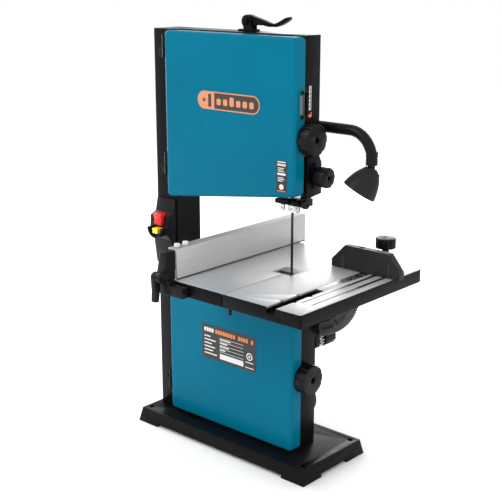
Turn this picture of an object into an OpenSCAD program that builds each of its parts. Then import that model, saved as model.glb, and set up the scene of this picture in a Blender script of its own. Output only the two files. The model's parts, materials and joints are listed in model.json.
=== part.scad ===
// Nine-inch benchtop band saw: an assembly of separate pieces in one frame.
// X to the right, Y to the back, Z up; the origin is the centre of the base's underside.

/* [Base] */
// Width of the base at the floor
base_w = 371; // [360:1:390]
// Depth of the base at the floor
base_d = 157.6; // [150:0.2:180]
// Height of the base
base_h = 24.3; // [20:0.1:30]
// Inward slope of each base side over its height
base_flare = 5.1; // [2:0.1:8]
// Distance between the bench bolt holes along X
bolt_dx = 340; // [330:1:345]
// Distance between the bench bolt holes along Y
bolt_dy = 123; // [110:1:126]
// Radius of the bench bolt holes
bolt_r = 4.5; // [3:0.1:5]

/* [Frame] */
// Left face of the column
col_x0 = -172; // [-176:0.5:-170]
// Right face of the column, the inner end of the throat
col_x1 = -125; // [-126:0.5:-124]
// Front face of the column
col_y0 = -34; // [-36:0.5:-33]
// Back face of the column and of both housings
back_y = 20; // [20:0.5:22]
// Height of the frame above the bench
frame_h = 675; // [674:0.5:680]
// Right face of both housings
house_x1 = 127; // [127:0.5:129]
// Front edge of both housings
house_y0 = -19; // [-19.5:0.1:-18.5]
// Height of the upper housing's underside at the column
upper_z_left = 405.5; // [403:0.5:406]
// Rise of that underside per millimetre to the right
upper_slope = 0.1353; // [0.12:0.001:0.14]
// Height of the lower housing's top
lower_top = 277; // [275:0.5:278]
// Sheet thickness of the frame
sheet = 2.5; // [1.5:0.1:2.6]

/* [Doors] */
// Left edge of the doors
door_x0 = -141; // [-142:0.5:-140]
// Right edge of the doors
door_x1 = 130; // [129.6:0.1:130.4]
// Front face of the doors
door_y0 = -42; // [-44:0.5:-41.5]
// Wall thickness of the doors
door_t = 2; // [1.2:0.1:2.2]

/* [Wheels and blade] */
// Radius over the tyre of each band wheel
wheel_r = 119; // [118.9:0.1:119]
// Width of each band wheel
wheel_w = 18; // [16:0.5:18]
// Centre of both wheels along X
wheel_x = -9.7; // [-9.7:0.1:-9.6]
// Height of the upper wheel's centre
upper_z = 548; // [547:0.5:549]
// Height of the lower wheel's centre
lower_z = 153; // [152:0.5:154]
// Middle of the blade's width along Y
blade_y = -20.9; // [-21.2:0.1:-20.6]
// Width of the blade
blade_w = 6.35; // [3.2:0.05:6.4]
// Thickness of the blade
blade_t = 0.5; // [0.4:0.05:0.6]

/* [Table] */
// Left edge of the table
table_x0 = -42; // [-44:0.5:-38]
// Right edge of the table
table_x1 = 246.4; // [240:0.2:250]
// Front edge of the table
table_y0 = -167; // [-170:0.5:-160]
// Back edge of the table
table_y1 = 133; // [125:0.5:136]
// Height of the table's working face
table_z = 314.2; // [314:0.1:315]
// Thickness of the table at its rim
table_t = 19.8; // [18:0.1:20]
// Height of the table's tilt axis
tilt_z = 291.2; // [291:0.1:292]
// Centre of the mitre slot along X
slot_x = 192.5; // [188:0.5:196]
// Width of the mitre slot
slot_w = 17; // [16:0.1:19]

/* [Fence and mitre gauge] */
// Face of the rip fence along X
fence_x = 1.8; // [0:0.1:4]
// Height of the rip fence's top
fence_top = 362.5; // [356:0.5:363]
// Centre of the mitre head along Y
mitre_y = 62; // [55:0.5:66]
// Width of the mitre head
mitre_w = 128; // [120:1:132]

/* [Hidden] */
$fn = 64;

black = "#1c1c1e";
teal = "#007a96";
steel = "silver";
cast = "dimgray";

gap = 0.3;
run = 0.05;
blade_x = wheel_x + wheel_r + gap;
table_bot = table_z - table_t;
top_plate_t = 3;
slab_bot = table_z - 11;
axle_r = 6;
bearing_r = 16;
tyre_t = 3.5;
hub_r = 22;
pulley_y = [blade_y + wheel_w / 2 + 2, blade_y + wheel_w / 2 + 16];
driven_r = 50;
drive_r = 15;
motor_x = -85;
motor_z = 75;
motor_r = 47;
belt_t = 2.5;
knob_y = -14;
lock_z = [525, 146];
post_x = 116;
post_y = 4;
adjust_y = -20;
gear_m = 1.5;
rack_teeth = 118;
pinion_teeth = 13;
pinion_at = 276;
quad_y = 30;
quad_t = 9;
slot_r = 50;
bolt_at = [225, 280];
lever_z = 690;
rod_y = 10;
rod_r = 3.5;
lever_x = -5;
lamp_y = 34;
lamp_z = 537.5;
lamp_bend = 40;
lamp_end_x = 214.5;
neck_r = 8.3;
lamp_tilt = 32;
lamp_turn = 42;
hinge_x = door_x0 - 3.5;
hinge_y = -38;
hinge_pin_r = 1.6;
hinge_knuckle_r = 3.2;

// ---------- shared shapes ----------

module box_at(x, y, z) {
    translate([x[0], y[0], z[0]]) cube([x[1] - x[0], y[1] - y[0], z[1] - z[0]]);
}
// A cylinder from a to b along X, Y or Z.
module rod_x(r, a, b, y, z) { translate([a, y, z]) rotate([0, 90, 0]) cylinder(r = r, h = b - a); }
module rod_y(r, a, b, x, z) { translate([x, b, z]) rotate([90, 0, 0]) cylinder(r = r, h = b - a); }
module rod_z(r, a, b, x, y) { translate([x, y, a]) cylinder(r = r, h = b - a); }
// An outline of (x, z) points given a thickness from a to b along Y.
module slab_y(a, b) { translate([0, b, 0]) rotate([90, 0, 0]) linear_extrude(b - a) children(); }
// An outline of (y, z) points given a thickness from a to b along X.
module slab_x(a, b) { translate([a, 0, 0]) rotate([90, 0, 90]) linear_extrude(b - a) children(); }
// A knob drawn along +Z with finger grooves round its rim.
module grip(r, h, grooves, groove_r, hole_r) {
    difference() {
        cylinder(r = r, h = h);
        for (i = [0 : grooves - 1])
            rotate([0, 0, 360 * i / grooves])
                translate([r + groove_r * 0.6, 0, -1]) cylinder(r = groove_r, h = h + 2, $fn = 24);
        translate([0, 0, h - 7]) cylinder(r = hole_r, h = 8);
    }
}
// Height of the upper housing's slanted underside at x.
function under(x) = upper_z_left + (x - col_x1) * upper_slope;
function inv(rb, t) = [rb * (cos(t) + t * PI / 180 * sin(t)), rb * (sin(t) - t * PI / 180 * cos(t))];
function turn(p, a) = [p[0] * cos(a) - p[1] * sin(a), p[0] * sin(a) + p[1] * cos(a)];
// Involute roll angle, in degrees, at which the flank reaches radius r.
function roll(rb, r) = r <= rb ? 0 : 180 / PI * sqrt(pow(r / rb, 2) - 1);
function flank_angle(rb, r) = let (t = roll(rb, r)) t - atan(t * PI / 180);
// One gear tooth's outline, root to root, centred on angle a.
function tooth(teeth, a, backlash) =
    let (rp = gear_m * teeth / 2, rb = rp * cos(20), ra = rp + 0.85 * gear_m, rf = rp - 1.1 * gear_m,
         half = 90 / teeth - backlash + flank_angle(rb, rp), steps = 4, t0 = roll(rb, max(rb, rf)),
             t1 = roll(rb, ra))
    concat([turn([rf, 0], a - half)],
        [for (i = [0 : steps]) turn(inv(rb, t0 + (t1 - t0) * i / steps), a - half)],
        [for (i = [steps : -1 : 0]) let (p = inv(rb, t0 + (t1 - t0) * i / steps)) turn([p[0], -p[1]],
            a + half)],
        [turn([rf, 0], a + half)]);

// ---------- base and frame ----------

module base() {
    top = [base_w - 2 * base_flare, base_d - 2 * base_flare];
    pad = 46;
    foot = 5;
    wall = 5;
    color(black) difference() {
        union() {
            difference() {
                linear_extrude(base_h, scale = [top[0] / base_w, top[1] / base_d])
                    square([base_w, base_d], center = true);
                translate([0, 0, -1]) linear_extrude(base_h - 4 + 1)
                    square([top[0] - 2 * wall, top[1] - 2 * wall], center = true);
            }
            for (x = [-1, 1], y = [-1, 1])
                translate([x * bolt_dx / 2, y * bolt_dy / 2, 0]) cylinder(r = 9, h = base_h - 2);
        }
        for (x = [-1, 1], y = [-1, 1])
            translate([x * bolt_dx / 2, y * bolt_dy / 2, -1]) cylinder(r = bolt_r, h = base_h + 2);
        translate([0, 0, foot / 2 - 0.5]) cube([base_w - 2 * pad, base_d + 2, foot + 1], center = true);
        translate([0, 0, foot / 2 - 0.5]) cube([base_w + 2, base_d - 2 * pad, foot + 1], center = true);
    }
}

module column() {
    color(black) difference() {
        box_at([col_x0, col_x1], [col_y0, back_y], [base_h, frame_h]);
        box_at([col_x0 + sheet, col_x1 - sheet], [col_y0 + sheet, back_y - sheet], [base_h - 1,
            frame_h - sheet]);
        box_at([col_x1 - sheet - 1, col_x1 + 1], [col_y0 + sheet, back_y - sheet], [base_h - 1,
            lower_top - sheet]);
        box_at([col_x1 - sheet - 1, col_x1 + 1], [col_y0 + sheet, back_y - sheet],
            [upper_z_left + sheet, frame_h - sheet]);
    }
}

module upper_outline(t) {
    x0 = col_x1;
    x1 = house_x1 - t;
    polygon([[x0, under(x0) + t], [x1, under(x1) + t], [x1, frame_h - t], [x0, frame_h - t]]);
}
module upper_housing() {
    color(black) difference() {
        slab_y(house_y0, back_y) upper_outline(0);
        slab_y(house_y0 - 1, back_y - sheet) upper_outline(sheet);
        slab_y(house_y0 - 1, back_y - sheet)
            polygon([[col_x1 - 1, under(col_x1) + sheet], [col_x1 + 1, under(col_x1) + sheet],
                     [col_x1 + 1, frame_h - sheet], [col_x1 - 1, frame_h - sheet]]);
        // blade, guide post, tension rod, tracking screw, lock stud, guide clamp and tracking slot
        box_at([101, 121], [house_y0 - 1, -12], [410, under(125) + sheet + 1]);
        box_at([post_x - 6.6, post_x + 6.6], [post_y - 6.6, post_y + 6.6], [410, under(125) + sheet + 1]);
        rod_z(rod_r + 0.4, frame_h - 5, frame_h + 1, wheel_x, rod_y);
        box_at([wheel_x - 5, wheel_x + 5], [10, back_y + 1], [516, 534]);
        rod_x(4 + run, house_x1 - 5, house_x1 + 1, knob_y, lock_z[0]);
        box_at([house_x1 - 5, house_x1 + 1], [-3, 12], [448, 495.5]);
        box_at([house_x1 - 5, house_x1 + 1], [-17.4, -10.8], [559, 593]);
    }
}

module lower_outline(t) {
    cut = 8;
    x1 = house_x1 - t;
    z1 = lower_top - t;
    polygon([[col_x1, base_h], [x1, base_h], [x1, z1 - cut + t * 0.4], [x1 - cut + t * 0.4, z1],
        [col_x1, z1]]);
}
module lower_housing() {
    color(black) difference() {
        slab_y(house_y0, back_y) lower_outline(0);
        slab_y(house_y0 - 1, back_y - sheet) intersection() {
            lower_outline(sheet);
            translate([-300, base_h + sheet]) square([600, 400]);
        }
        slab_y(house_y0 - 1, back_y - sheet)
            translate([col_x1 - 1, base_h + sheet]) square([2, lower_top - base_h - 2 * sheet]);
        box_at([101, 121], [house_y0 - 1, -12], [lower_top - 6, lower_top + 1]);
        rod_y(drive_r - 1, back_y - 5, back_y + 1, motor_x, motor_z);
        rod_y(axle_r + gap, back_y - 5, back_y + 1, wheel_x, lower_z);
        rod_y(25.5, back_y - 5, back_y + 1, 78, 79);
        rod_x(4 + run, house_x1 - 5, house_x1 + 1, knob_y, lock_z[1]);
    }
}

hinge_rows = [[60, 1], [225, 1], [440, 1], [630, 1]];
module hinge_leaves() {
    color(black) for (h = hinge_rows) {
        difference() {
            union() {
                rod_z(hinge_knuckle_r, h[0], h[0] + 18, hinge_x, hinge_y);
                box_at([hinge_x - 14, hinge_x + 1], [col_y0 - 2, col_y0], [h[0], h[0] + 18]);
                box_at([hinge_x - 1, hinge_x + 1], [hinge_y, col_y0 - 1], [h[0], h[0] + 18]);
            }
        }
        rod_z(hinge_pin_r, h[0] + 18, h[0] + 37, hinge_x, hinge_y);
    }
}
// The two knuckles that turn with one door, on the hinge rows i and i + 1.
module door_knuckles(i) {
    for (h = [hinge_rows[i], hinge_rows[i + 1]]) difference() {
        union() {
            rod_z(hinge_knuckle_r, h[0] + 18.3, h[0] + 36, hinge_x, hinge_y);
            box_at([hinge_x, door_x0 + 0.5], [hinge_y - 1, hinge_y + 1], [h[0] + 18.3, h[0] + 36]);
        }
        rod_z(hinge_pin_r + run, h[0], h[0] + 40, hinge_x, hinge_y);
    }
}

// ---------- doors ----------

module upper_door_outline(t) {
    z0 = under(door_x0);
    z1 = under(door_x1);
    c = 3;
    x0 = door_x0 + t;
    x1 = door_x1 - t;
    top = frame_h - 1.5 - t;
    polygon([[x0 + c, z0 + t], [x1 - c, z1 + t - c * upper_slope], [x1, z1 + t + c], [x1, top - c],
        [x1 - c, top],
             [x0 + c, top], [x0, top - c], [x0, z0 + t + c]]);
}
module upper_door() {
    color(teal) difference() {
        union() {
            difference() {
                slab_y(door_y0, house_y0 - gap) upper_door_outline(0);
                slab_y(door_y0 + door_t, house_y0) upper_door_outline(door_t);
            }
            door_knuckles(2);
        }
        box_at([door_x0 - 1, col_x1 + 0.5], [col_y0 - gap, house_y0], [380, frame_h]);
        box_at([98, 122], [-33, house_y0], [under(98) - 6, under(122) + 4]);
        box_at([door_x1 - 4, door_x1 + 1], [-32, -22], [564, 589]);
    }
}
module tracking_window() {
    color([0.8, 0.85, 0.85, 0.5]) difference() {
        box_at([door_x1, door_x1 + 1.5], [-34, -21], [554, 599]);
        for (z = [558.5, 594.5]) rod_x(1.6, door_x1 - 1, door_x1 + 3, -27.5, z);
    }
}

module lower_door_outline(t) {
    c = 3;
    x0 = door_x0 + t;
    x1 = door_x1 - t;
    z0 = base_h + 1.7 + t;
    z1 = lower_top - t;
    cut = 8;
    polygon([[x0 + c, z0], [x1 - c, z0], [x1, z0 + c], [x1, z1 - cut], [x1 - cut, z1], [x0 + c, z1],
        [x0, z1 - c],
             [x0, z0 + c]]);
}
module lower_door() {
    color(teal) difference() {
        union() {
            difference() {
                slab_y(door_y0, house_y0 - gap) lower_door_outline(0);
                slab_y(door_y0 + door_t, house_y0) lower_door_outline(door_t);
            }
            door_knuckles(0);
        }
        box_at([door_x0 - 1, col_x1 + 0.5], [col_y0 - gap, house_y0], [20, lower_top + 1]);
        box_at([98, 122], [-33, house_y0], [lower_top - 4, lower_top + 1]);
    }
}

module lock_knob(z) {
    color(black) {
        translate([door_x1 + 1, knob_y, z]) rotate([0, 90, 0]) grip(23.8, 19, 10, 3, 5);
        rod_x(4, house_x1 - 9, door_x1 + 1.5, knob_y, z);
    }
}
module upper_lock_knob() { lock_knob(lock_z[0]); }
module lower_lock_knob() { lock_knob(lock_z[1]); }

// ---------- wheels, blade and drive ----------

module band_wheel(z) {
    w0 = blade_y - wheel_w / 2;
    rim_r = wheel_r - tyre_t;
    difference() {
        union() {
            difference() {
                rod_y(rim_r, w0, w0 + wheel_w, wheel_x, z);
                rod_y(rim_r - 6, w0 - 1, w0 + wheel_w + 1, wheel_x, z);
            }
            rod_y(hub_r, w0 - 2, w0 + wheel_w + 2, wheel_x, z);
            rod_y(rim_r - 5, w0 + 7, w0 + 11.5, wheel_x, z);
            for (i = [0 : 9]) translate([wheel_x, 0, z]) rotate([0, 36 * i, 0])
                box_at([-1.5, 1.5], [w0 + 3, w0 + wheel_w - 3], [hub_r - 3, rim_r - 4]);
        }
        rod_y(bearing_r, w0 - 3, w0 + wheel_w + 3, wheel_x, z);
    }
}
module wheel_tyre(z) {
    w0 = blade_y - wheel_w / 2;
    difference() {
        rod_y(wheel_r, w0, w0 + wheel_w, wheel_x, z);
        rod_y(wheel_r - tyre_t, w0 - 1, w0 + wheel_w + 1, wheel_x, z);
    }
}
module wheel_bearings(z) {
    w0 = blade_y - wheel_w / 2 - 2;
    for (y = [w0, w0 + 12]) difference() {
        rod_y(bearing_r, y, y + 10, wheel_x, z);
        rod_y(axle_r + run, y - 1, y + 11, wheel_x, z);
    }
}
module upper_wheel() { color(cast) band_wheel(upper_z); }
module lower_wheel() { color(cast) band_wheel(lower_z); }
module upper_tyre() { color("black") wheel_tyre(upper_z); }
module lower_tyre() { color("black") wheel_tyre(lower_z); }
module upper_bearings() { color(steel) wheel_bearings(upper_z); }
module lower_bearings() { color(steel) wheel_bearings(lower_z); }

module lower_axle() {
    color(steel) difference() {
        union() {
            rod_y(axle_r, -37, back_y, wheel_x, lower_z);
            rod_y(9, -36, -32.6, wheel_x, lower_z);
            rod_y(20, 5, back_y - sheet, wheel_x, lower_z);
        }
    }
}

// The band's outline: two half turns joined by two straight runs.
module loop_outline(r) {
    union() {
        translate([wheel_x, upper_z]) circle(r);
        translate([wheel_x, lower_z]) circle(r);
        translate([wheel_x - r, lower_z]) square([2 * r, upper_z - lower_z]);
    }
}
module blade() {
    color("#26262a") slab_y(blade_y - blade_w / 2, blade_y + blade_w / 2) difference() {
        loop_outline(wheel_r + gap + blade_t, $fn = 128);
        loop_outline(wheel_r + gap, $fn = 128);
    }
}

// Centre distance and the two tangent angles of the belt over its pulleys.
belt_dx = motor_x - wheel_x;
belt_dz = motor_z - lower_z;
belt_c = sqrt(belt_dx * belt_dx + belt_dz * belt_dz);
belt_at = atan2(belt_dz, belt_dx);
function tangent(a, big, small) = acos((big - small) / belt_c) * a;
// Quadrilateral between the pulley centres' four tangent points.
module belt_outline(big, small) {
    t = tangent(1, big, small);
    translate([wheel_x, lower_z]) rotate([0, 0, belt_at]) union() {
        circle(big);
        translate([belt_c, 0]) circle(small);
        polygon([[big * cos(t), big * sin(t)], [big * cos(t), -big * sin(t)],
                 [belt_c + small * cos(t), -small * sin(t)], [belt_c + small * cos(t), small * sin(t)]]);
    }
}
module drive_belt() {
    color("black") slab_y(pulley_y[0] + 2, pulley_y[1] - 2) difference() {
        belt_outline(driven_r + gap + belt_t, drive_r + gap + belt_t);
        belt_outline(driven_r + gap, drive_r + gap);
    }
}
module pulley(r, x, z) {
    rod_y(r, pulley_y[0], pulley_y[1], x, z);
    for (y = [pulley_y[0], pulley_y[1] - 1.6]) rod_y(r + 4.5, y, y + 1.6, x, z);
}
module driven_pulley() {
    color("gray") difference() {
        pulley(driven_r, wheel_x, lower_z);
        rod_y(axle_r + 3, pulley_y[0] - 1, pulley_y[1] + 1, wheel_x, lower_z);
        for (i = [0 : 4]) translate([wheel_x, 0, lower_z]) rotate([0, 72 * i, 0])
            rod_y(10, pulley_y[0] - 1, pulley_y[1] + 1, 0, 31);
    }
}
module motor_pulley() {
    color(steel) {
        pulley(drive_r, motor_x, motor_z);
        rod_y(7, pulley_y[1] - 1.5, 28, motor_x, motor_z);
    }
}
module motor() {
    fins = 20;
    color(black) difference() {
        union() {
            rod_y(motor_r - 4, back_y + 8, 118, motor_x, motor_z);
            for (i = [0 : fins - 1]) translate([motor_x, 0, motor_z]) rotate([0, 360 * i / fins, 0])
                box_at([-1.2, 1.2], [39, 101], [motor_r - 6, motor_r - 0.9]);
            rod_y(motor_r, back_y + 8, 40, motor_x, motor_z);
            rod_y(motor_r - 0.5, 100, 124, motor_x, motor_z);
            box_at([motor_x - 36, motor_x + 36], [back_y, back_y + 8], [motor_z - 36, motor_z + 36]);
        }
        rod_y(7 + gap, back_y - 1, 28.3, motor_x, motor_z);
        for (i = [0 : 11]) translate([motor_x, 0, motor_z]) rotate([0, 30 * i, 0])
            box_at([-2, 2], [118, 125], [16, 38]);
    }
}
module dust_port() {
    color(black) difference() {
        union() {
            rod_y(28.5, back_y, back_y + 32, 78, 79);
            rod_y(34, back_y, back_y + 3, 78, 79);
        }
        rod_y(25.5, back_y - 1, back_y + 33, 78, 79);
    }
}

// ---------- blade tension and tracking ----------

module tension_guide() {
    color(cast) difference() {
        union() {
            box_at([wheel_x - 29, wheel_x + 29], [14.6, back_y - sheet], [500, 606]);
            for (x = [-29, 20.4]) box_at([wheel_x + x, wheel_x + x + 8.6], [2, 14.6], [500, 600]);
            box_at([wheel_x - 29, wheel_x + 29], [1, 14.6], [600, 606]);
        }
        box_at([wheel_x - 6, wheel_x + 6], [14, back_y], [512, 538]);
        rod_z(rod_r + 0.4, 595, 610, wheel_x, rod_y);
    }
}
module tension_carriage() {
    color(steel) {
        difference() {
            box_at([wheel_x - 20, wheel_x + 20], [2, 14.3], [512, 572]);
            rod_y(3.05, 1, 15, wheel_x, 525);
        }
        rod_y(axle_r, -37, 2.5, wheel_x, upper_z);
        rod_y(9, -36, -32.6, wheel_x, upper_z);
        rod_z(rod_r, 571, lever_z - 10.2, wheel_x, rod_y);
        rod_z(7, 655, 659, wheel_x, rod_y);
    }
}
spring_turns = 7;
spring_rings = 112;
function spring_ring(i) = let (a = 360 * spring_turns * i / spring_rings,
    z = 607.2 + (653.8 - 607.2) * i / spring_rings)
    [for (k = [0 : 5]) let (b = 60 * k)
        [wheel_x + (6.2 + 1.1 * cos(b)) * cos(a), rod_y + (6.2 + 1.1 * cos(b)) * sin(a), z + 1.1 * sin(b)]];
module tension_spring() {
    points = [for (i = [0 : spring_rings]) each spring_ring(i)];
    sides = [for (i = [0 : spring_rings - 1], k = [0 : 5])
        [6 * i + k, 6 * i + (k + 1) % 6, 6 * (i + 1) + (k + 1) % 6, 6 * (i + 1) + k]];
    color(steel) polyhedron(points,
        concat([[5, 4, 3, 2, 1, 0]], sides, [[for (k = [0 : 5]) 6 * spring_rings + k]]));
}
module lever_bracket() {
    color(black) {
        difference() {
            union() {
                box_at([lever_x - 15, lever_x + 14], [1, 19.5], [frame_h, frame_h + 3]);
                for (y = [3, 15]) {
                    rod_y(9.5, y, y + 3, lever_x, lever_z);
                    box_at([lever_x - 6, lever_x + 9.5], [y, y + 3], [frame_h + 2, lever_z]);
                }
            }
            rod_z(rod_r + 0.4, frame_h - 1, frame_h + 4, wheel_x, rod_y);
            rod_y(3, -10, 20, lever_x, lever_z);
        }
        rod_y(3, 1, 18, lever_x, lever_z);
        rod_y(5, -0.5, 3, lever_x, lever_z);
    }
}
module tension_lever() {
    color(black) difference() {
        union() {
            rod_y(9.6, 6.3, 14.7, lever_x, lever_z + 0.3);
            slab_y(6.6, 14.4) translate([lever_x, lever_z]) polygon([
                [0, 9.5], [4, 9.4], [17, 6], [32, 2], [44, -1.5], [53, -2.5], [62, 0.8], [74, 6.8], [81, 8.6],
                [83, 6.6], [79, 2.4], [68, -3.6], [57, -6.8], [43, -7.2], [32, -5.5], [19, -5.5], [9,
                    -7], [0, -4]]);
        }
        rod_y(3 + run, -1, 16, lever_x, lever_z);
    }
}
module tracking_knob() {
    color(black) {
        translate([wheel_x, back_y + 6, 525]) rotate([-90, 0, 0]) grip(16, 20, 8, 3, 4);
        rod_y(3, 3, back_y + 6.5, wheel_x, 525);
    }
}

// ---------- blade guides ----------

module post_bracket() {
    color(black) difference() {
        union() {
            slab_x(house_x1, house_x1 + 6)
                polygon([[-15, 434], [20, 438], [20, 486], [14, 497], [-15, 497]]);
            box_at([105, house_x1 - sheet - gap], [-5, 14], [446, 500]);
            box_at([house_x1 - sheet - 1, house_x1 + 1], [-2.5, 11.5], [448.5, 495]);
            slab_x(house_x1 + 6, house_x1 + 9) union() {
                translate([post_y, 480]) circle(7);
                translate([post_y, 454]) circle(7);
                translate([post_y - 7, 454]) square([14, 26]);
            }
            for (z = [457, 477]) rod_x(3, house_x1 + 9, house_x1 + 11.5, post_y, z);
        }
        box_at([post_x - 6.1, post_x + 6.1], [post_y - 6.1, post_y + 6.1], [440, 510]);
        rod_x(4 + run, post_x, house_x1 + 14, post_y, 467);
    }
}
module guide_post() {
    color(steel) box_at([post_x - 6, post_x + 6], [post_y - 6, post_y + 6], [424, 606]);
}
module guide_carrier() {
    color(black) box_at([99, 112], [-11.2, -4], [410, 424]);
    color(black) difference() {
        union() {
            box_at([80.5, 126], [-27, -10], [418.5, 430]);
            box_at([95, 123.5], [-11, 12], [418.5, 430]);
        }
        box_at([76, 109], [-28, 13], [418, 423.5]);
        box_at([101, 133], [-28, -11], [418, 423.5]);
        box_at([107.4, 112.4], [-28, -10.9], [418, 431]);
        box_at([post_x - 6, post_x + 6], [post_y - 6, post_y + 6], [424, 431]);
        rod_x(2.4 + run, 117, 133, adjust_y, 426.75);
    }
}
module guide_block() {
    color(steel) {
        box_at([106.5, blade_x - 0.4], [-28.5, -18], [413.5, 423.5]);
        box_at([blade_x + blade_t + 0.4, 118.5], [-28.5, -18], [413.5, 423.5]);
        box_at([112.9, 118.5], [-18.5, -14.5], [413.5, 423.5]);
        box_at([92.5, 98.5], [-28.5, -23], [414, 423.5]);
    }
}
module thrust_bearing() {
    color(steel) rod_y(6.5, blade_y + blade_w / 2 + gap, -11.2, 105.6, 416.5);
}
module guide_adjust_knob() {
    color(black) {
        translate([130.5, adjust_y, 426.75]) rotate([0, 90, 0]) grip(6.6, 7.5, 8, 1.3, 1.8);
        rod_x(2.4, 118, 131, adjust_y, 426.75);
    }
}
module guide_lock_knob() {
    color(black) {
        translate([house_x1 + 14, post_y, 467]) rotate([0, 90, 0]) grip(15.5, 18, 10, 2.2, 3);
        rod_x(4, post_x + 6.4, house_x1 + 14.5, post_y, 467);
    }
}
module lower_guide() {
    color(steel) box_at([102, 118], [-13, 4], [lower_top, lower_top + 4]);
    color(steel) difference() {
        box_at([102, 118], [-30, -12], [lower_top - 8, lower_top + 9]);
        box_at([blade_x - 1, blade_x + blade_t + 1], [-27, -11], [lower_top - 9, lower_top + 10]);
        box_at([101, 119], [-31, house_y0 + 0.2], [lower_top - 9, lower_top + 0.3]);
    }
}

// ---------- table ----------

module table_outline(r, inset = 0) {
    x0 = table_x0 + inset;
    x1 = table_x1 - inset;
    y0 = table_y0 + inset;
    y1 = table_y1 - inset;
    for (x = [x0 + r, x1 - r]) for (y = [y0 + r, y1 - r]) translate([x, y]) circle(r);
    translate([x0 + r, y0]) square([x1 - x0 - 2 * r, y1 - y0]);
    translate([x0, y0 + r]) square([x1 - x0, y1 - y0 - 2 * r]);
}
insert_x = [79, 116];
insert_y = [-31, 4];
slit_x = 100;
module slot_notches() {
    for (y = [-128, -92], s = [-1, 1])
        translate([slot_x + s * slot_w / 2, y + s * 3]) circle(3.6);
}
module table_top() {
    color(steel) translate([0, 0, table_z - top_plate_t]) linear_extrude(top_plate_t) difference() {
        table_outline(2.5, 1.6);
        translate([insert_x[0], insert_y[0]])
            square([insert_x[1] - insert_x[0], insert_y[1] - insert_y[0]]);
        translate([slit_x - 1, table_y0 - 1]) square([2, insert_y[0] - table_y0 + 2]);
        translate([slot_x - slot_w / 2, table_y0 - 1]) square([slot_w, table_y1 - table_y0 + 2]);
        slot_notches();
        for (x = [211, 228.6]) {
            translate([x - 1.7, -121]) square([3.4, 110]);
            translate([x - 3.2, -14]) square([6.4, 86]);
        }
    }
}
module table_casting() {
    slab_top = table_z - top_plate_t;
    color(black) difference() {
        union() {
            difference() {
                translate([0, 0, table_bot]) linear_extrude(table_t - 0.15) table_outline(4);
                translate([0, 0, slab_top]) linear_extrude(5) table_outline(2.5, 1.5);
                box_at([table_x0 + 6, table_x1 - 6], [table_y0 + 6, table_y1 - 6], [table_bot - 1, slab_bot]);
            }
            box_at([50, 170], [26, 60], [table_bot, slab_bot + 1]);
        }
        box_at([insert_x[0] + 2, insert_x[1] - 2], [insert_y[0] + 2, insert_y[1] - 2], [table_bot - 1,
            table_z + 1]);
        box_at([slit_x - 1, slit_x + 1], [table_y0 - 1, insert_y[0] + 3], [table_bot - 1, table_z + 1]);
        box_at([slot_x - slot_w / 2, slot_x + slot_w / 2], [table_y0 - 1, table_y1 + 1],
            [table_z - 9.6, table_z + 1]);
        rod_z(2.5, table_bot - 1, table_bot + 8, 112, table_y0 + 4);
    }
}
module table_insert() {
    color("gray") difference() {
        box_at(insert_x, insert_y, [table_z - top_plate_t, table_z - 0.2]);
        box_at([84, 112], [-26.5, -15.5], [table_z - 5, table_z + 1]);
    }
}
module alignment_pin() {
    color("gray") rod_z(2.5, table_bot - 10, table_bot + 8, 112, table_y0 + 4);
}

// A ring sector between two radii and two angles.
module sector(r0, r1, a0, a1) {
    steps = ceil((a1 - a0) / 40);
    intersection() {
        difference() {
            circle(r1, $fn = 128);
            circle(r0, $fn = 128);
        }
        polygon(concat([[0, 0]], [for (i = [0 : steps]) let (a = a0 + (a1 - a0) * i / steps)
            [200 * cos(a), 200 * sin(a)]]));
    }
}
module arc_slot(r, w, a0, a1) {
    sector(r - w / 2, r + w / 2, a0, a1);
    for (a = [a0, a1]) translate([r * cos(a), r * sin(a)]) circle(w / 2 - 0.05);
}
rack_r = gear_m * rack_teeth / 2;
module tilt_quadrant() {
    root = rack_r - 1.1 * gear_m;
    step = 360 / rack_teeth;
    first = ceil(186 / step);
    last = floor(354 / step);
    color(cast) translate([blade_x + blade_t / 2, 0, tilt_z]) {
        difference() {
            slab_y(quad_y, quad_y + quad_t) difference() {
                union() {
                    intersection() {
                        circle(root + 0.2, $fn = 128);
                        translate([-100, -100]) square([200, 101]);
                    }
                    for (i = [first : last]) polygon(tooth(rack_teeth, i * step, 0.06));
                    translate([-root + 2, 0]) square([2 * root - 4, table_bot - tilt_z]);
                }
                arc_slot(slot_r, 6.8, bolt_at[0] - 3, bolt_at[0] + 48);
                arc_slot(slot_r, 6.8, bolt_at[1] - 3, bolt_at[1] + 48);
            }
            // pockets between the ribs of the front face
            slab_y(quad_y - 1, quad_y + 4.5) for (i = [0 : 6]) {
                sector(58, 68, 186 + 24.5 * i, 207 + 24.5 * i);
                sector(70.5, 79.5, 186 + 24.5 * i, 207 + 24.5 * i);
            }
        }
        box_at([-50, 50], [quad_y + quad_t - 1, quad_y + 27], [table_bot - tilt_z - 4, table_bot - tilt_z]);
    }
}
pinion_c = gear_m * (rack_teeth + pinion_teeth) / 2;
pinion_x = blade_x + blade_t / 2 + pinion_c * cos(pinion_at);
pinion_z = tilt_z + pinion_c * sin(pinion_at);
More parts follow.
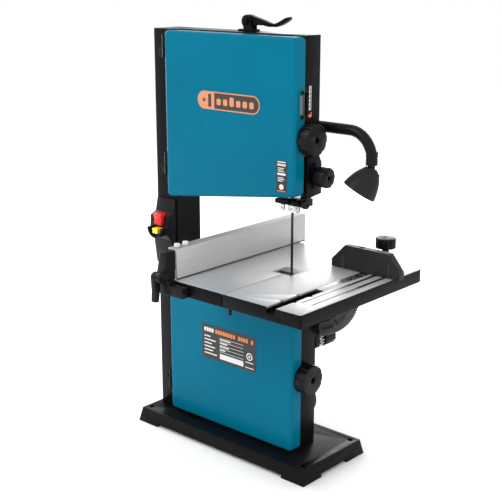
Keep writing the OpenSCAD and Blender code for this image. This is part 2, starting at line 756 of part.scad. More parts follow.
// The pinion's teeth stand half a pitch off the rack's teeth on the line of centres.
rack_phase = (pinion_at / 360 * rack_teeth) - floor(pinion_at / 360 * rack_teeth);
pinion_turn = pinion_at + 180 + (rack_phase + 0.5) * 360 / pinion_teeth;
module tilt_pinion() {
    color("gray") translate([pinion_x, 0, pinion_z]) {
        slab_y(quad_y + 0.3, quad_y + quad_t) union() {
            circle(gear_m * pinion_teeth / 2 - 1.1 * gear_m + 0.2);
            for (i = [0 : pinion_teeth - 1])
                polygon(tooth(pinion_teeth, pinion_turn + 360 * i / pinion_teeth, 0.5));
        }
        rod_y(4, back_y + 1, quad_y + 24, 0, 0);
    }
}
module tilt_knob() {
    color(black) difference() {
        translate([pinion_x, quad_y + quad_t + 3, pinion_z]) rotate([-90, 0, 0]) grip(12.5, 25, 10, 2, 3);
        rod_y(4, quad_y, quad_y + 24, pinion_x, pinion_z);
    }
}
bolt_x = blade_x + blade_t / 2 + slot_r * cos(bolt_at[1]);
bolt_z = tilt_z + slot_r * sin(bolt_at[1]);
pilot_x = blade_x + blade_t / 2 + slot_r * cos(bolt_at[0]);
pilot_z = tilt_z + slot_r * sin(bolt_at[0]);
module trunnion_bracket() {
    color(black) difference() {
        union() {
            slab_y(back_y, quad_y - gap) polygon([[62, 275], [118, 275], [125, 258], [126, 215], [128, 201],
                [128, 185], [111, 184], [98, 205], [62, 225]]);
            rod_y(3, quad_y - 1, quad_y + quad_t + 1.5, pilot_x, pilot_z);
            rod_y(7, quad_y + quad_t + 0.5, quad_y + quad_t + 3, pilot_x, pilot_z);
        }
        rod_y(4 + run, back_y - 1, quad_y + 1, pinion_x, pinion_z);
        rod_y(3 + run, back_y - 1, quad_y + 1, bolt_x, bolt_z);
    }
}
module tilt_lock_knob() {
    color(black) {
        translate([bolt_x, quad_y + quad_t + 3, bolt_z]) rotate([-90, 0, 0]) grip(13, 16, 6, 3.4, 2.5);
        rod_y(3, back_y + 1, quad_y + quad_t + 3.5, bolt_x, bolt_z);
        rod_y(7, quad_y + quad_t + 0.5, quad_y + quad_t + 3.5, bolt_x, bolt_z);
    }
}

// ---------- fence and mitre gauge ----------

module fence_rail() {
    x = fence_x;
    color(steel) difference() {
        slab_y(-161, 147) polygon([
        [x - 3.2, table_z + 0.4], [x, table_z + 0.4], [x, fence_top], [x - 17.8, fence_top],
        [x - 17.8, fence_top - 2.6], [x - 3.2, fence_top - 2.6]]);
        for (y = [-150, -132]) rod_z(2 + run, fence_top - 4, fence_top + 1, -8.5, y);
    }
}
module fence_bracket() {
    color(black) {
        slab_y(-180, -161) polygon([[-23, 315], [-2, 315], [-1.5, 340], [-1.5, fence_top - 3], [-15,
            fence_top - 3],
            [-20, 338], [-23, 326]]);
        box_at([-17, 33], [-182, table_y0 - 0.4], [295, 311]);
        box_at([-17, 4], [-182, table_y0 - 0.4], [310, 317]);
        difference() {
            union() {
                rod_x(8, -8, 1.5, -190.5, 323);
                box_at([-8, 1.5], [-190.5, -180], [315, 331]);
            }
            rod_x(3 + run, -9, -1, -190.5, 323);
        }
    }
}
module fence_bolts() {
    color("white") for (y = [-150, -132]) {
        rod_z(4.3, fence_top, fence_top + 5, -8.5, y);
        rod_z(2, fence_top - 2.9, fence_top + 0.5, -8.5, y);
    }
}
module fence_lever() {
    color(black) {
        slab_x(-17, -8.4) union() {
            translate([-190.5, 323]) circle(8);
            polygon([[-198.3, 321.5], [-197, 302], [-198, 285], [-190, 284], [-187, 302], [-186, 317]]);
        }
        rod_x(3, -9, -2, -190.5, 323);
    }
}
module mitre_bar() {
    color(steel) difference() {
        box_at([slot_x - slot_w / 2 + 0.4, slot_x + slot_w / 2 - 0.4], [-55, 128], [table_z - 9.2,
            table_z - 0.3]);
        rod_z(3 + run, table_z - 8, table_z + 1, slot_x, mitre_y + knob_r);
        rod_z(3 + run, table_z - 8, table_z + 1, slot_x, mitre_y);
    }
}
module mitre_head() {
    h = 37.5;
    half = mitre_w / 2;
    color(black) difference() {
        slab_y(mitre_y - 6, mitre_y + 6) translate([slot_x, table_z + 0.6]) difference() {
            polygon([[-half, 0], [half, 0], [half, 12], [half - 21, h], [-half + 25, h], [-half, 12]]);
            for (x = [-43, 43]) {
                translate([x - 2.2, -1]) square([4.4, 20]);
                translate([x, 19]) circle(2.2);
            }
        }
        rod_z(3.5, table_z + 28, table_z + 40, slot_x - 9, mitre_y);
        box_at([slot_x - 30, slot_x + 30], [mitre_y + 2, mitre_y + 7], [table_z, table_z + 4]);
    }
    color(steel) rod_z(3, table_z - 7, table_z + 4, slot_x, mitre_y);
}
module mitre_protractor() {
    color([0.75, 0.78, 0.8]) translate([slot_x, mitre_y, table_z + 0.6]) difference() {
        linear_extrude(3) difference() {
            union() {
                intersection() {
                    circle(58);
                    translate([-60, 6.2]) square([120, 60]);
                }
                translate([-29.5, 3.4]) square([59, 4]);
            }
            arc_slot(knob_r, 6.6, 29, 151);
        }
    }
}
knob_r = 49;
module mitre_knob() {
    x = slot_x;
    y = mitre_y + knob_r;
    color(black) {
        translate([x, y, table_z + 30.3]) grip(16, 16, 12, 2.2, 2);
        rod_z(5.5, table_z + 4, table_z + 31, x, y);
        rod_z(3, table_z - 7, table_z + 5, x, y);
    }
}

// ---------- switch and lamp ----------

sw_x = -145;
sw_z = 353;
module switch_box() {
    color(black) difference() {
        union() {
            slab_x(col_x0 + 3, col_x1 - 3) polygon([[col_y0, 398], [-37, 398], [-42, 376], [-54, 370],
                [-56, 340],
                [-47, 330], [-41, 286], [col_y0, 286]]);
            difference() {
                rod_y(17, -69, -50, sw_x, sw_z);
                rod_y(14, -70, -55, sw_x, sw_z);
                box_at([sw_x - 30, sw_x + 30], [-71, -54], [sw_z, 390]);
            }
        }
        box_at([sw_x - 8.4, sw_x + 8.4], [-60, -43], [353.4, 379]);
        box_at([sw_x - 7.4, sw_x + 5.4], [-60, -40], [342.6, 352.4]);
        rod_x(1.5 + run, sw_x - 11, sw_x + 11, -50, 366);
    }
}
module red_switch() {
    color("red") {
        slab_x(sw_x - 8, sw_x + 8) polygon([[-47, 357], [-60, 356.5], [-62, 359], [-60.5, 366], [-63, 373],
            [-60, 376.5], [-47.5, 376.5]]);
        rod_x(1.5, sw_x - 10.6, sw_x + 10.6, -50, 366);
    }
}
module yellow_key() {
    color("yellow") box_at([sw_x - 7, sw_x + 5], [-67, -41], [343, 352]);
}
lamp_joint_z = lamp_z - lamp_bend - 19.5;
module lamp_placed() {
    translate([lamp_end_x, lamp_y, lamp_joint_z]) rotate([0, 0, lamp_turn]) rotate([0, lamp_tilt,
        0]) children();
}
module lamp_neck() {
    color(black) difference() {
        union() {
            box_at([58, 86], [back_y, back_y + 30], [522, 553]);
            rod_x(neck_r, 85, lamp_end_x - lamp_bend, lamp_y, lamp_z);
            translate([lamp_end_x - lamp_bend, lamp_y, lamp_z - lamp_bend]) rotate([90, 0, 0])
                rotate_extrude(angle = 90) translate([lamp_bend, 0]) circle(neck_r);
            rod_z(9.2, lamp_z - lamp_bend + 3.5, lamp_z - lamp_bend + 12, lamp_end_x, lamp_y);
            rod_z(neck_r, lamp_z - lamp_bend - 1, lamp_z - lamp_bend + 5, lamp_end_x, lamp_y);
            rod_z(9.2, lamp_z - lamp_bend - 8, lamp_z - lamp_bend + 2, lamp_end_x, lamp_y);
            rod_z(5.5, lamp_joint_z - 4.5, lamp_z - lamp_bend, lamp_end_x, lamp_y);
        }
        translate([lamp_end_x, lamp_y, lamp_joint_z]) rotate([0, 0, lamp_turn]) rotate([90, 0, 0])
            cylinder(r = 2 + run, h = 20, center = true);
    }
}
module lamp_shade() {
    color(black) lamp_placed() {
        difference() {
            rotate_extrude() polygon([[0, 7], [9, 7], [9.6, 6.4], [9.6, 4.2], [12.2, 4.2], [14.9,
                -0.8], [17.2, -4.3],
                [19.4, -8.3], [21.6, -13.3], [23.3, -18.3], [24.8, -23.3], [25.9, -28.3], [26.7,
                    -33.3], [25.3, -33.3],
                [24.5, -28.3], [23.4, -23.6], [21.9, -18.8], [20.2, -13.9], [18.1, -9.2], [15.9, -5.2],
                    [14, -2.8],
                [0, -2.8]]);
            translate([-10, -6, -4]) cube([20, 12, 12]);
        }
        rotate([90, 0, 0]) cylinder(r = 2, h = 17, center = true);
    }
}
module lamp_lens() {
    color("white") lamp_placed() translate([0, 0, -24]) cylinder(r1 = 22.9, r2 = 22.3, h = 2);
}

base();
column();
upper_housing();
lower_housing();
hinge_leaves();
lower_axle();
blade();
drive_belt();
motor();
dust_port();
post_bracket();
trunnion_bracket();
lower_guide();
tension_guide();
lever_bracket();
lamp_neck();
switch_box();
upper_door();
tracking_window();
lower_door();
upper_lock_knob();
lower_lock_knob();
tension_lever();
tension_carriage();
tension_spring();
tracking_knob();
upper_wheel();
upper_tyre();
upper_bearings();
lower_wheel();
lower_tyre();
lower_bearings();
driven_pulley();
motor_pulley();
guide_post();
guide_carrier();
guide_block();
thrust_bearing();
guide_lock_knob();
guide_adjust_knob();
table_top();
table_casting();
table_insert();
alignment_pin();
tilt_quadrant();
tilt_pinion();
tilt_knob();
tilt_lock_knob();
fence_rail();
fence_bracket();
fence_bolts();
fence_lever();
mitre_bar();
mitre_head();
mitre_protractor();
mitre_knob();
red_switch();
yellow_key();
lamp_shade();
lamp_lens();
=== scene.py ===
import json
import math

import bmesh
import bpy
from mathutils import Matrix, Vector


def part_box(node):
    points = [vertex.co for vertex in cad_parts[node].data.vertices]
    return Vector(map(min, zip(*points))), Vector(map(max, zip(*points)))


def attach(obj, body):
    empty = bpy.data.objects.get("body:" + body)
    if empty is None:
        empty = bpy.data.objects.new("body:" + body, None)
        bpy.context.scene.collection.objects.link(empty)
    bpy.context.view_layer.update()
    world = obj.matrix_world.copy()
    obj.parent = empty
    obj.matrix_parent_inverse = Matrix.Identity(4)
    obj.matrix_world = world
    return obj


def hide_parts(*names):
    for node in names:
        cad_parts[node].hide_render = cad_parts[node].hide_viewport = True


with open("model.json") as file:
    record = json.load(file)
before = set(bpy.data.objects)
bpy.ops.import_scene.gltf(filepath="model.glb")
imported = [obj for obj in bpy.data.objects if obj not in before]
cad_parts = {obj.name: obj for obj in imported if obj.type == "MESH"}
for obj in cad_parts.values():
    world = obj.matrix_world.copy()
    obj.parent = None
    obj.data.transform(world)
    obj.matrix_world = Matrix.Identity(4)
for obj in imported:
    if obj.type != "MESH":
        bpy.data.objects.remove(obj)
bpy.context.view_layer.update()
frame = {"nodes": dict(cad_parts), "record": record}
NODES = frame["nodes"]
BODY = {n: b for b, members in frame["record"]["behaviour"]["bodies"].items() for n in members}
SLOT = {s["node"]: s["material_slot"] for s in frame["record"]["subparts"]}
MM = 0.001
# How far the doors' hinge knuckles stand out to the left of their pressed covers, in mm.
HINGE_REACH = 6.7

# ---------------------------------------------------------------- materials


class Nodes:
    """A Principled material with short names for the nodes that the finishes share."""

    def __init__(self, name, color, rough, metal=0.0, coat=0.0, coat_rough=0.05, spec=0.5):
        self.m = bpy.data.materials.new(name)
        self.m.use_nodes = True
        self.t = self.m.node_tree
        self.b = self.t.nodes["Principled BSDF"]
        self.set("Base Color", (*color, 1))
        self.set("Roughness", rough)
        self.set("Metallic", metal)
        self.set("Coat Weight", coat)
        self.set("Coat Roughness", coat_rough)
        self.set("Specular IOR Level", spec)
        self.coord = self.t.nodes.new("ShaderNodeTexCoord")

    def set(self, name, value):
        self.b.inputs[name].default_value = value

    def link(self, a, b):
        self.t.links.new(a, b)

    def mapped(self, scale):
        n = self.t.nodes.new("ShaderNodeMapping")
        n.inputs["Scale"].default_value = scale
        self.link(self.coord.outputs["Object"], n.inputs["Vector"])
        return n.outputs["Vector"]

    def noise(self, scale, detail=2.0, rough=0.5, stretch=(1, 1, 1)):
        n = self.t.nodes.new("ShaderNodeTexNoise")
        n.inputs["Scale"].default_value = scale
        n.inputs["Detail"].default_value = detail
        n.inputs["Roughness"].default_value = rough
        self.link(self.mapped(stretch), n.inputs["Vector"])
        return n.outputs["Fac"]

    def ramp(self, value, stops):
        n = self.t.nodes.new("ShaderNodeValToRGB")
        e = n.color_ramp.elements
        while len(e) < len(stops):
            e.new(0.5)
        for k, (p, c) in zip(e, stops):
            k.position = p
            k.color = (*c, 1) if hasattr(c, "__len__") else (c, c, c, 1)
        self.link(value, n.inputs["Fac"])
        return n.outputs["Color"]

    def range(self, value, a, b):
        """The noise's usual span, 0.3 to 0.7, spread over a to b."""
        n = self.t.nodes.new("ShaderNodeMapRange")
        n.inputs["From Min"].default_value = 0.3
        n.inputs["From Max"].default_value = 0.7
        n.inputs["To Min"].default_value = a
        n.inputs["To Max"].default_value = b
        self.link(value, n.inputs["Value"])
        return n.outputs["Result"]

    def bump(self, value, strength, distance):
        n = self.t.nodes.new("ShaderNodeBump")
        n.inputs["Strength"].default_value = strength
        n.inputs["Distance"].default_value = distance
        self.link(value, n.inputs["Height"])
        self.link(n.outputs["Normal"], self.b.inputs["Normal"])


def enamel():
    """The doors' smooth teal paint."""
    k = Nodes("teal_enamel", (0.0, 0.13, 0.215), 0.26, 0.0, 0.0, 0.08, 0.055)
    n = k.noise(9, 3)
    k.link(k.ramp(n, [(0.3, (0.0, 0.128, 0.212)), (0.7, (0.0, 0.142, 0.232))]), k.b.inputs["Base Color"])
    k.link(k.range(k.noise(60, 2), 0.2, 0.28), k.b.inputs["Roughness"])
    k.bump(k.noise(420, 2), 0.05, 0.0004)
    return k.m


def powder(name="black_powder", color=(0.0035, 0.003, 0.0036), rough=0.32, spec=0.085, grain=900, strength=0.1):
    """Dark paint or plastic with a fine grain."""
    k = Nodes(name, color, rough, spec=spec)
    dark = tuple(c * 0.75 for c in color)
    light = tuple(c * 1.3 for c in color)
    k.link(k.ramp(k.noise(14, 4), [(0.3, dark), (0.72, light)]), k.b.inputs["Base Color"])
    k.link(k.range(k.noise(35, 3), rough - 0.06, rough + 0.08), k.b.inputs["Roughness"])
    k.bump(k.noise(grain, 2), strength, 0.0005)
    return k.m


def metal(name, color, rough, stretch=(1, 1, 1), scale=400, strength=0.06, spread=0.08, amount=1.0):
    """Metal with a grain, which stretch draws out into brush marks."""
    k = Nodes(name, color, rough, amount)
    n = k.noise(scale, 3, 0.6, stretch)
    dark = tuple(c * 0.86 for c in color)
    k.link(k.ramp(n, [(0.3, dark), (0.7, color)]), k.b.inputs["Base Color"])
    k.link(k.range(n, rough - spread, rough + spread), k.b.inputs["Roughness"])
    k.bump(n, strength, 0.0003)
    return k.m


def plain(name, color, rough, coat=0.0, scale=500, strength=0.05):
    """Smooth plastic, print or rubber."""
    k = Nodes(name, color, rough, 0.0, coat)
    n = k.noise(scale, 2)
    dark = tuple(c * 0.9 for c in color)
    k.link(k.ramp(n, [(0.3, dark), (0.7, color)]), k.b.inputs["Base Color"])
    k.link(k.range(k.noise(40, 2), rough - 0.04, rough + 0.05), k.b.inputs["Roughness"])
    k.bump(n, strength, 0.0003)
    return k.m


MAT = {
    "teal": enamel(),
    "black": powder(),
    "cast_black": powder("cast_black", (0.006, 0.0055, 0.006), 0.5, 0.12, 500, 0.35),
    "plastic": powder("black_plastic", (0.005, 0.0045, 0.0052), 0.36, 0.15, 1400, 0.08),
    "lamp": powder("lamp_plastic", (0.014, 0.0115, 0.0115), 0.5, 0.15, 1400, 0.06),
    "head": powder("gauge_plastic", (0.014, 0.011, 0.011), 0.42, 0.2, 1400, 0.06),
    "smoke": plain("smoked_window", (0.06, 0.075, 0.08), 0.15, 0.6),
    "peach": plain("peach_print", (0.62, 0.25, 0.125), 0.4, 0.0),
    "brown": plain("brown_print", (0.035, 0.014, 0.01), 0.4, 0.1),
    # Flat black for print and screw heads, also used as painted shade in grooves, slots and gaps.
    "ink_and_shade": plain("black_print_and_painted_shade", (0.008, 0.007, 0.007), 0.4, 0.1),
    "orange": plain("orange_print", (0.8, 0.2, 0.06), 0.4, 0.1),
    "paper": plain("white_print", (0.75, 0.75, 0.74), 0.4, 0.1),
    "steel": metal("bright_steel", (0.56, 0.56, 0.57), 0.26),
    "block": metal("guide_zinc", (0.86, 0.86, 0.87), 0.42, amount=0.55),
    "blade": metal("blade_steel", (0.055, 0.052, 0.05), 0.38),
    "alu": metal("brushed_aluminium", (0.6, 0.6, 0.605), 0.42, (1, 0.02, 1), 900, 0.04, 0.05, 0.6),
    "rail": metal("anodised_rail", (0.56, 0.56, 0.565), 0.5, (1, 0.02, 1), 900, 0.03, 0.04, 0.45),
    "alu_cast": metal("cast_aluminium", (0.45, 0.455, 0.46), 0.45, (1, 1, 1), 200, 0.25),
    "grey": plain("grey_cast", (0.085, 0.085, 0.088), 0.5, 0.0, 300, 0.2),
    "rubber": plain("rubber", (0.012, 0.012, 0.012), 0.8, 0.0, 700, 0.2),
    "red": plain("red_plastic", (0.72, 0.006, 0.002), 0.3, 0.0),
    "yellow": plain("yellow_plastic", (0.85, 0.72, 0.03), 0.3, 0.3),
    "white": plain("white_plastic", (0.8, 0.8, 0.79), 0.35, 0.2),
    "insert": metal("insert_aluminium", (0.2, 0.2, 0.21), 0.42),
    # A darker copy of the rail's metal for its top face: painted shade.
    "rail_top_shade": metal("rail_top_painted_shade", (0.3, 0.3, 0.305), 0.5, (1, 0.02, 1), 900, 0.03, 0.04, 0.45),
}


def clear():
    """The mitre gauge's clear scale."""
    k = Nodes("clear_plastic", (0.6, 0.62, 0.63), 0.12)
    k.set("Transmission Weight", 0.45)
    k.set("IOR", 1.35)
    k.link(k.range(k.noise(60, 2), 0.08, 0.2), k.b.inputs["Roughness"])
    return k.m


def frosted():
    """The lamp's lens."""
    k = Nodes("frosted_lens", (0.85, 0.85, 0.82), 0.35)
    k.set("Transmission Weight", 0.3)
    k.link(k.range(k.noise(300, 2), 0.3, 0.45), k.b.inputs["Roughness"])
    return k.m


MAT["clear"] = clear()
MAT["lens"] = frosted()
BY_SLOT = {
    "black_steel": "black", "teal_steel": "teal", "bright_steel": "steel", "blade_steel": "blade", "aluminium": "alu",
    "black_plastic": "plastic", "grey_cast": "grey", "rubber": "rubber", "red_plastic": "red",
    "yellow_plastic": "yellow", "clear_plastic": "clear", "white_glass": "lens", "white_plastic": "white",
}

# ---------------------------------------------------------------- mesh helpers


def finish_mesh(name, bm, mat, body, smooth=35):
    """Turns bm into an object that rides on a body; edges over smooth degrees stay sharp."""
    me = bpy.data.meshes.new(name)
    bmesh.ops.recalc_face_normals(bm, faces=bm.faces)
    bm.to_mesh(me)
    bm.free()
    me.materials.append(MAT[mat] if isinstance(mat, str) else mat)
    me.shade_smooth()
    me.set_sharp_from_angle(angle=math.radians(smooth))
    ob = bpy.data.objects.new(name, me)
    bpy.context.scene.collection.objects.link(ob)
    if body:
        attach(ob, body)
    return ob


def bevel(bm, width, angle=28):
    """Rounds over the edges that turn by more than angle degrees."""
    edges = [e for e in bm.edges if len(e.link_faces) == 2 and e.calc_face_angle(0) > math.radians(angle)]
    if edges and width:
        bmesh.ops.bevel(bm, geom=edges, offset=width * MM, segments=2, profile=0.6, affect="EDGES",
                        clamp_overlap=True)


def refine(node, width, mat=None):
    """A piece made from a CAD node's own faces, with its edges rounded over."""
    bm = bmesh.new()
    bm.from_mesh(NODES[node].data)
    bmesh.ops.remove_doubles(bm, verts=bm.verts, dist=2e-6)
    bmesh.ops.dissolve_limit(bm, angle_limit=math.radians(0.6), verts=bm.verts, edges=bm.edges)
    bevel(bm, width)
    ob = finish_mesh(node + "_skin", bm, mat or BY_SLOT[SLOT[node]], BODY[node])
    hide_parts(node)
    return ob


def axes(axis):
    """Where a drawing's (u, v) and its depth w go for a part that runs along this axis."""
    return {"x": (1, 2, 0), "y": (0, 2, 1), "z": (0, 1, 2)}[axis]


def prism(bm, pts, a, b, axis):
    """A solid whose outline is pts, from a to b along the axis, in mm."""
    iu, iv, iw = axes(axis)

    def put(p, w):
        c = [0, 0, 0]
        c[iu], c[iv], c[iw] = p[0] * MM, p[1] * MM, w * MM
        return bm.verts.new(c)

    lo, hi = [put(p, a) for p in pts], [put(p, b) for p in pts]
    bm.faces.new(lo)
    bm.faces.new(hi)
    for i in range(len(pts)):
        j = (i + 1) % len(pts)
        bm.faces.new((lo[i], lo[j], hi[j], hi[i]))


def lathe(bm, profile, at, axis, segments=40):
    """A turned solid: profile is (radius, along) in mm from at, closed on the axis at both ends."""
    iu, iv, iw = axes(axis)
    rings = []
    for r, w in profile:
        ring = []
        for i in range(segments if r > 0 else 1):
            t = 2 * math.pi * i / segments
            c = [0, 0, 0]
            c[iu], c[iv], c[iw] = r * math.cos(t), r * math.sin(t), w
            ring.append(bm.verts.new([(at[k] + c[k]) * MM for k in range(3)]))
        rings.append(ring)
    for p, q in zip(rings, rings[1:]):
        for i in range(segments):
            j = (i + 1) % segments
            if len(p) == 1:
                bm.faces.new((p[0], q[i], q[j]))
            elif len(q) == 1:
                bm.faces.new((p[i], p[j], q[0]))
            else:
                bm.faces.new((p[i], p[j], q[j], q[i]))


def rounded(u0, u1, v0, v1, r, n=6):
    """The outline of a rectangle with rounded corners, in mm."""
    r = min(r, (u1 - u0) / 2, (v1 - v0) / 2)
    pts = []
    for cu, cv, t0 in ((u1 - r, v0 + r, -90), (u1 - r, v1 - r, 0), (u0 + r, v1 - r, 90), (u0 + r, v0 + r, 180)):
        for i in range(n + 1):
            t = math.radians(t0 + 90 * i / n)
            pts.append((cu + r * math.cos(t), cv + r * math.sin(t)))
    return pts


def circle(cu, cv, r, n=24):
    """The outline of a circle, in mm."""
    return [(cu + r * math.cos(2 * math.pi * i / n), cv + r * math.sin(2 * math.pi * i / n)) for i in range(n)]


def piece(name, mat, node, draw):
    """A piece of its own that rides with a CAD node: draw(bm) makes its faces."""
    bm = bmesh.new()
    draw(bm)
    finish_mesh(name, bm, mat, BODY[node])


def box_mm(node):
    """A node's box at rest: its low and high corners, in mm."""
    lo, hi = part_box(node)
    return [v / MM for v in lo], [v / MM for v in hi]


def corner(a, b):
    """Where two lines (normal x, normal z, distance) cross."""
    det = a[0] * b[1] - a[1] * b[0]
    return (a[2] * b[1] - b[2] * a[1]) / det, (a[0] * b[2] - b[0] * a[2]) / det


def door(node, cut_side):
    """A pressed cover: rounded corners, a wide round along its front edge, and black hinge knuckles.

    Its back edge is cut away along the hinge side and, on cut_side (0 bottom, 2 top), for the blade."""
    radius, soft, wall = 7.5, 5.0, 2.0
    hinge_x, hinge_y = -124.5, -34.4
    blade_gap, blade_gap_y = (98, 122), -33
    lo, hi = box_mm(node)
    y0, y1 = lo[1], hi[1]
    mesh = NODES[node].data
    left = lo[0] + HINGE_REACH
    face = [v.co / MM for v in mesh.vertices if abs(v.co.y / MM - y0) < 0.01]
    bottom = sorted((v for v in face if v.z < (lo[2] + hi[2]) / 2 and left + 2 < v.x < hi[0] - 2), key=lambda v: v.x)
    pa, pb = bottom[0], bottom[-1]
    slope = (pb.z - pa.z) / (pb.x - pa.x)
    k = math.hypot(slope, 1)
    lines = [(slope / k, -1 / k, (slope * pa.x - pa.z) / k), (1, 0, hi[0]), (0, 1, hi[2]), (-1, 0, -left)]
    cuts = {0: [hinge_x], 2: [hinge_x]}
    cuts[cut_side] += blade_gap

    def ring(inset, depth):
        pts = []
        inner = [(nx, nz, d - inset) for nx, nz, d in lines]
        r = max(radius - inset, 0.8)
        small = [(nx, nz, d - r) for nx, nz, d in inner]
        for i in range(4):
            j = (i + 1) % 4
            mx, mz = corner(small[i], small[j])
            t0 = math.atan2(lines[i][1], lines[i][0])
            t1 = math.atan2(lines[j][1], lines[j][0])
            t1 += 2 * math.pi if t1 < t0 else 0
            for q in range(7):
                t = t0 + (t1 - t0) * q / 6
                pts.append((mx + r * math.cos(t), mz + r * math.sin(t), False))
            if j in cuts:
                xs = sorted(x + e for x in cuts[j] for e in (-0.15, 0.15))
                nx, nz, d = inner[j]
                for x in (xs if j == 0 else xs[::-1]):
                    pts.append((x, (d - nx * x) / nz, j == cut_side))
        return [(x, y_at(x, on, depth), z) for x, z, on in pts]

    def y_at(x, on, depth):
        if depth is not None:
            return depth
        if x < hinge_x:
            return hinge_y
        return blade_gap_y if on and blade_gap[0] < x < blade_gap[1] else y1

    rows = []
    for q in range(7):
        t = math.radians(15 * q)
        rows.append(ring(soft * (1 - math.sin(t)), y0 + soft * (1 - math.cos(t))))
    rows += [ring(0, None), ring(wall, None)]
    inner = soft - wall
    for q in range(5):
        t = math.radians(22.5 * q)
        rows.append(ring(wall + inner * (1 - math.cos(t)), y0 + soft - inner * math.sin(t)))
    bm = bmesh.new()
    loops = [[bm.verts.new((x * MM, y * MM, z * MM)) for x, y, z in r] for r in rows]
    for p, q in zip(loops, loops[1:]):
        for i in range(len(p)):
            j = (i + 1) % len(p)
            bm.faces.new((p[i], p[j], q[j], q[i]))
    bm.faces.new(loops[0])
    bm.faces.new(loops[-1])
    ob = finish_mesh(node + "_skin", bm, "teal", BODY[node], 32)
    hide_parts(node)
    levels = sorted({round(v.co.z / MM, 1) for v in mesh.vertices if v.co.x / MM < left - 1})
    rows = [z for i, z in enumerate(levels) if i == 0 or z - levels[i - 1] > 5]
    tops = [z for i, z in enumerate(levels) if i + 1 == len(levels) or levels[i + 1] - z > 5]
    spans = [(z, min(t for t in tops if t >= z + 5)) for z in rows if any(z + 5 <= t < z + 40 for t in tops)]

    def knuckles(bm):
        for za, zb in spans:
            lathe(bm, [(1.75, za), (3.2, za), (3.2, zb), (1.75, zb), (1.75, za)], (lo[0] + 3.2, -38, 0), "z", 32)
            prism(bm, [(lo[0] + 5.6, -40.6), (left + 0.8, -40.6), (left + 0.8, -38.4), (lo[0] + 5.6, -38.4)],
                  za, zb, "z")
        bmesh.ops.remove_doubles(bm, verts=bm.verts, dist=1e-6)

    piece(node + "_knuckles", "black", node, knuckles)


def blade():
    """The band itself, with its row of teeth, as a closed loop round both wheels."""
    lo, hi = box_mm("blade")
    top, bottom = box_mm("upper_wheel"), box_mm("lower_wheel")
    cx = (lo[0] + hi[0]) / 2
    zt, zb = (top[0][2] + top[1][2]) / 2, (bottom[0][2] + bottom[1][2]) / 2
    r = (hi[0] - lo[0]) / 2 - 0.25
    straight, arc = zt - zb, math.pi * r
    total = 2 * (straight + arc)
    teeth = round(total / 4.4)
    pitch = total / teeth

    def at(s):
        s %= total
        if s < straight:
            return (cx + r, zt - s), (1, 0)
        s -= straight
        if s < arc:
            t = -s / r
            return (cx + r * math.cos(t), zb + r * math.sin(t)), (math.cos(t), math.sin(t))
        s -= arc
        if s < straight:
            return (cx - r, zb + s), (-1, 0)
        t = math.pi - (s - straight) / r
        return (cx + r * math.cos(t), zt + r * math.sin(t)), (math.cos(t), math.sin(t))

    bm = bmesh.new()
    rows = []
    for i in range(teeth):
        for f, y in ((0.0, lo[1] + 1.5), (0.8, lo[1] + 0.05), (0.93, lo[1] + 1.3)):
            (x, z), (nx, nz) = at((i + f) * pitch)
            rows.append([bm.verts.new(((x + k * nx) * MM, yy * MM, (z + k * nz) * MM))
                         for k, yy in ((-0.23, y), (0.23, y), (0.23, hi[1]), (-0.23, hi[1]))])
    for p, q in zip(rows, rows[1:] + rows[:1]):
        for i in range(4):
            j = (i + 1) % 4
            bm.faces.new((p[i], p[j], q[j], q[i]))
    ob = finish_mesh("blade_band", bm, "blade", BODY["blade"], 25)
    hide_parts("blade")


# The width of the rounded edges, in mm, where it isn't 0.5.
WIDTH = {
    "base": 1.6, "column": 1.2, "upper_housing": 0.9, "lower_housing": 0.9, "table_top": 0.15, "table_casting": 0.8,
    "table_insert": 0.2, "fence_rail": 0.25, "tension_spring": 0, "tilt_quadrant": 0.25, "tilt_pinion": 0.2,
    "upper_lock_knob": 1.3, "lower_lock_knob": 1.3, "mitre_bar": 0.3, "mitre_head": 0.7, "mitre_knob": 2.2,
    "guide_lock_knob": 1.0, "tilt_knob": 1.0, "tilt_lock_knob": 1.0, "tension_lever": 1.3, "fence_bracket": 1.0,
    "fence_lever": 1.4, "guide_block": 0.3, "lamp_shade": 0.2,
}
# The materials of the nodes that don't have their slot's own.
MATS = {
    "tracking_window": "teal", "trunnion_bracket": "cast_black", "motor": "cast_black", "upper_wheel": "alu_cast",
    "lower_wheel": "alu_cast", "table_insert": "insert", "guide_block": "block", "lamp_shade": "lamp",
    "fence_rail": "rail", "fence_bolts": "white", "mitre_head": "head", "mitre_knob": "plastic",
}
for node in sorted(NODES):
    if node in ("upper_door", "lower_door"):
        door(node, 0 if node == "upper_door" else 2)
    elif node == "blade":
        blade()
    else:
        skin = refine(node, WIDTH.get(node, 0.5), MATS.get(node))
        if node == "fence_rail":
            # The rail's upward top face gets the darker copy of its metal: painted shade.
            skin.data.materials.append(MAT["rail_top_shade"])
            top = max(v.co.z for v in skin.data.vertices) - 0.0001
            for p in skin.data.polygons:
                if p.center.z > top and p.normal.z > 0.9:
                    p.material_index = 1

# ---------------------------------------------------------------- printed and small parts

(ux0, uy0, uz0), (ux1, uy1, uz1) = box_mm("upper_door")
(lx0, ly0, lz0), (lx1, ly1, lz1) = box_mm("lower_door")
ux0 += HINGE_REACH
lx0 += HINGE_REACH
(hx0, hy0, hz0), (hx1, hy1, hz1) = box_mm("upper_housing")


def shapes(name, mat, node, outlines, a, b, axis="y"):
    """One piece made of flat shapes, each a prism from a to b along the axis."""

    def draw(bm):
        for pts in outlines:
            prism(bm, pts, a, b, axis)

    piece(name, mat, node, draw)


